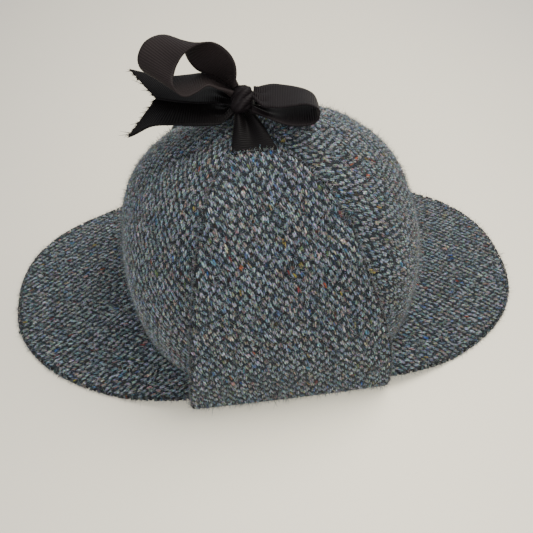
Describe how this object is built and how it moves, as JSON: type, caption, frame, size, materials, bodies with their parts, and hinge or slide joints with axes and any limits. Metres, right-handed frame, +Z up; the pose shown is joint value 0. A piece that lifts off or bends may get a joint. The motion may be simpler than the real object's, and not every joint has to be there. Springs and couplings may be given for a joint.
{
  "type": "deerstalker hat",
  "caption": "Tweed deerstalker hat: a round panelled crown with a peak front and back, ear flaps folded up and tied over the top in a grosgrain ribbon bow.",
  "frame": {"origin": "on the ground plane, below the middle of the crown", "axes": "+X along the hat from one peak to the other, -Y towards the near ear flap, +Z up"},
  "size_m": [0.335, 0.1928, 0.1807],
  "materials": {
    "tweed": "coarse woollen tweed, slate blue-grey flecked, soft and matt",
    "grosgrain": "ribbed grosgrain ribbon, near-black brown with a faint sheen"
  },
  "bodies": {
    "root": {"crown_panel_1": "tweed", "crown_panel_2": "tweed", "crown_panel_3": "tweed", "crown_panel_4": "tweed", "crown_panel_5": "tweed", "crown_panel_6": "tweed", "left_peak": "tweed", "right_peak": "tweed", "near_ear_flap": "tweed", "far_ear_flap": "tweed", "bow_left_loop": "grosgrain", "bow_right_loop": "grosgrain", "bow_lower_tail": "grosgrain", "bow_upper_tail": "grosgrain", "bow_knot": "grosgrain", "near_ribbon_lead": "grosgrain", "far_ribbon_lead": "grosgrain"}
  },
  "joints": []
}
